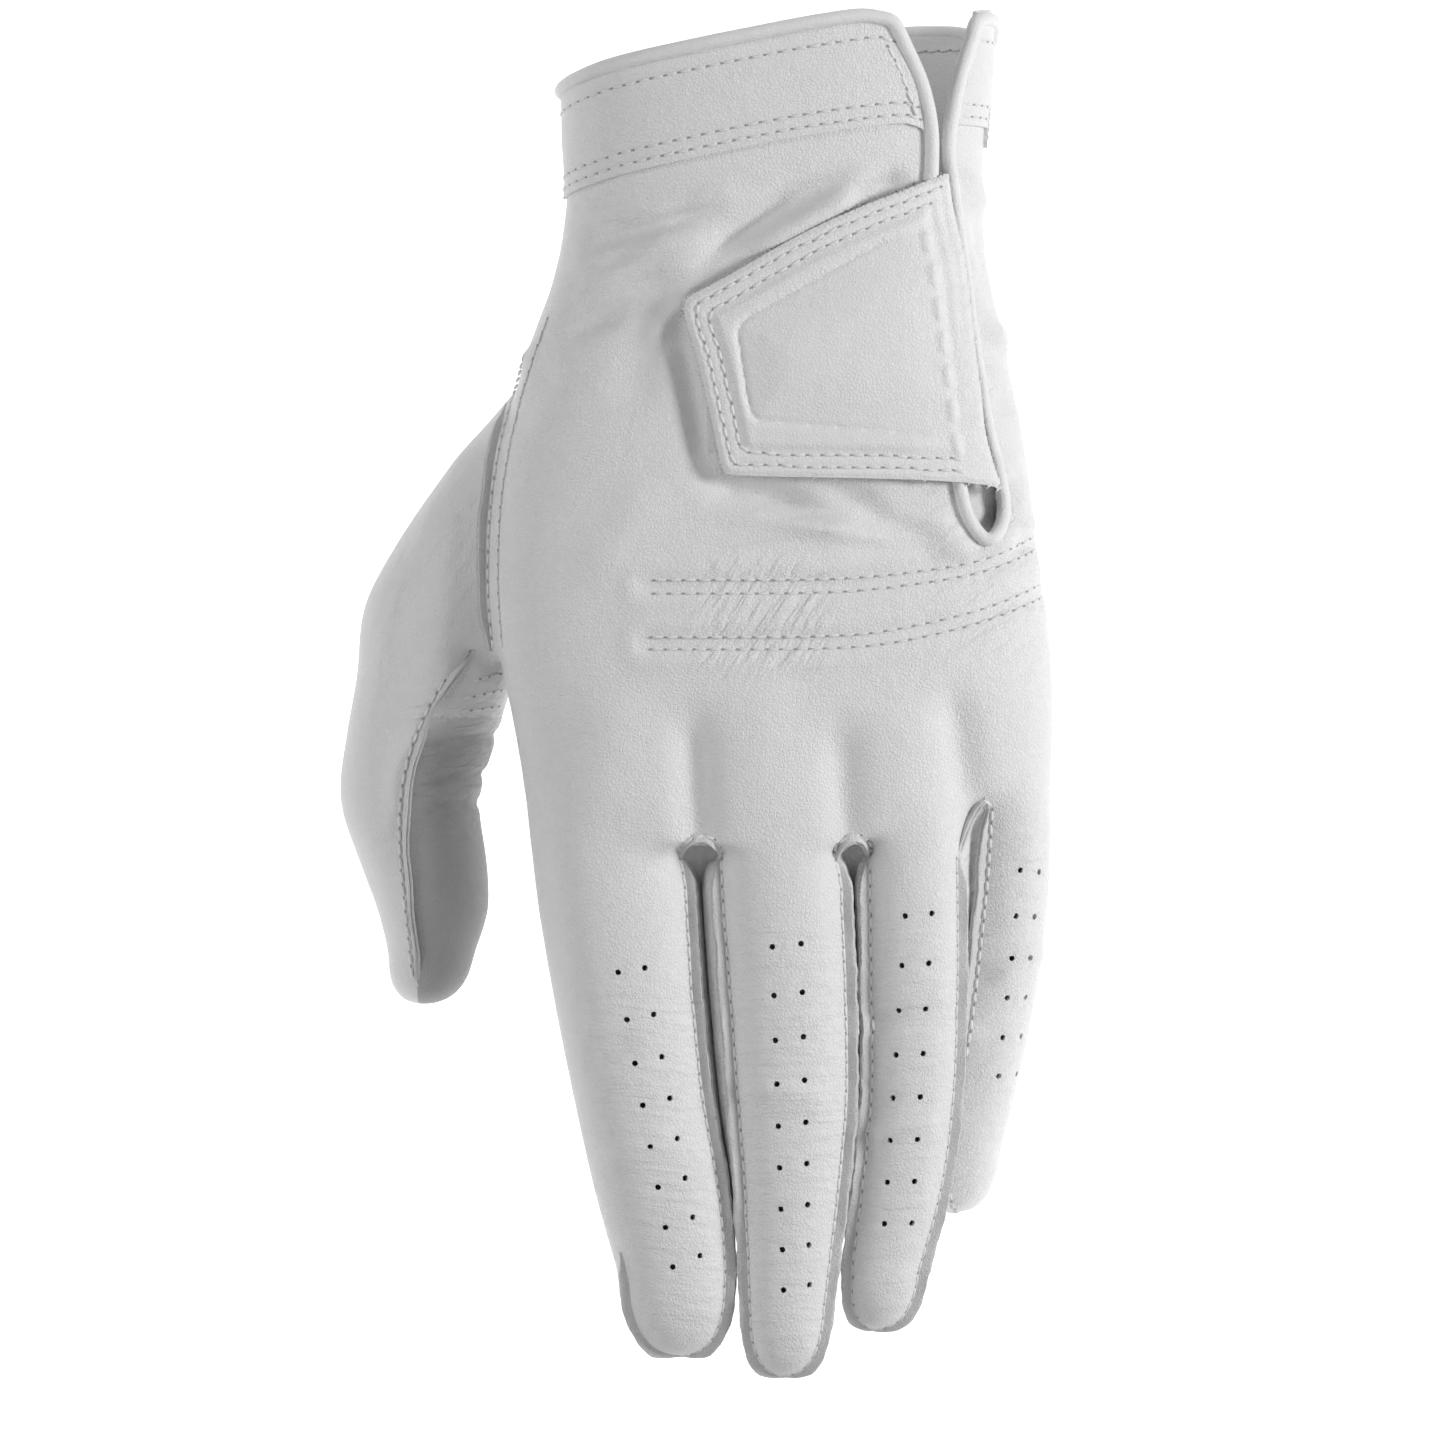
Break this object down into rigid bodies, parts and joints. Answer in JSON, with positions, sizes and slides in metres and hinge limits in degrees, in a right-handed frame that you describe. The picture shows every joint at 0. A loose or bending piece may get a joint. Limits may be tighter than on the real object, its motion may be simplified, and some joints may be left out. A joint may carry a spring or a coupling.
{
  "type": "golf glove",
  "caption": "Left-hand leather golf glove with a hook-and-loop closure tab, seamed fingers, knuckle elastics and a bound cuff.",
  "frame": {"origin": "middle of the wrist opening, in the plane of the cuff's edge", "axes": "+Z out of the wrist opening, with the fingers pointing to -Z; -Y out of the back of the hand, +Y out of the palm; +X to the little finger, -X to the thumb"},
  "size_m": [0.1186, 0.0504, 0.22],
  "materials": {
    "white_leather": "soft sheepskin, fine pebble grain, low sheen",
    "palm_leather": "soft sheepskin, slightly smoother than the back",
    "binding_leather": "thin leather rolled over the edge",
    "lining_leather": "smooth leather lining",
    "embossed_leather": "raised moulded leather border",
    "elastic": "knitted white elastic tape",
    "label_cloth": "blank woven label",
    "loop_tape": "brushed loop tape",
    "hook_tape": "hook tape with rows of small hooks",
    "tab_foam": "thin foam",
    "thread": "white sewing thread"
  },
  "bodies": {
    "hand": {"back_panel": "white_leather", "palm_panel": "palm_leather", "thumb_base_panel": "white_leather", "cuff_band": "white_leather", "cuff_binding": "binding_leather", "size_label": "label_cloth", "slit_binding": "binding_leather", "wrist_elastic": "elastic", "upper_knuckle_elastic": "elastic", "lower_knuckle_elastic": "elastic", "fourchette_crotches": "white_leather", "loop_patch": "loop_tape", "cuff_stitching": "thread", "knuckle_stitching": "thread", "side_seam_stitching": "thread"},
    "closure_tab": {"tab_lining": "lining_leather", "tab_core": "tab_foam", "tab_cover": "white_leather", "tab_frame": "embossed_leather", "hook_patch": "hook_tape", "tab_stitching": "thread"},
    "index_finger": {"index_back": "white_leather", "index_front": "palm_leather", "index_fourchette_little_side": "white_leather"},
    "middle_finger": {"middle_back": "white_leather", "middle_front": "palm_leather", "middle_fourchette_thumb_side": "white_leather", "middle_fourchette_little_side": "white_leather"},
    "ring_finger": {"ring_back": "white_leather", "ring_front": "palm_leather", "ring_fourchette_thumb_side": "white_leather", "ring_fourchette_little_side": "white_leather"},
    "little_finger": {"little_back": "white_leather", "little_front": "palm_leather", "little_fourchette_thumb_side": "white_leather"},
    "thumb": {"thumb_back": "white_leather", "thumb_pad": "palm_leather"}
  },
  "joints": [
    {"name": "closure_tab_hinge", "type": "hinge", "parent": "hand", "child": "closure_tab", "pos_m": [0.0326, -0.01419, -0.0452], "axis": [-0.1681, -0.0257, 0.9854], "range_deg": [0, 150]},
    {"name": "index_knuckle", "type": "hinge", "parent": "hand", "child": "index_finger", "pos_m": [-0.027, 0.01685, -0.13209], "axis": [0.9945, 0, 0.1045], "range_deg": [0, 70]},
    {"name": "middle_knuckle", "type": "hinge", "parent": "hand", "child": "middle_finger", "pos_m": [0, 0.01685, -0.12925], "axis": [0.9945, 0, 0.1045], "range_deg": [0, 70]},
    {"name": "ring_knuckle", "type": "hinge", "parent": "hand", "child": "ring_finger", "pos_m": [0.0226, 0.01685, -0.12687], "axis": [0.9945, 0, 0.1045], "range_deg": [0, 70]},
    {"name": "little_knuckle", "type": "hinge", "parent": "hand", "child": "little_finger", "pos_m": [0.0382, 0.01685, -0.12524], "axis": [0.9945, 0, 0.1045], "range_deg": [0, 70]},
    {"name": "thumb_knuckle", "type": "hinge", "parent": "hand", "child": "thumb", "pos_m": [-0.0596, 0.0261, -0.11125], "axis": [1, 0, 0], "range_deg": [0, 40]}
  ],
  "couplings": [
    {"joint": "little_knuckle", "follows": "ring_knuckle", "ratio": 1}
  ]
}
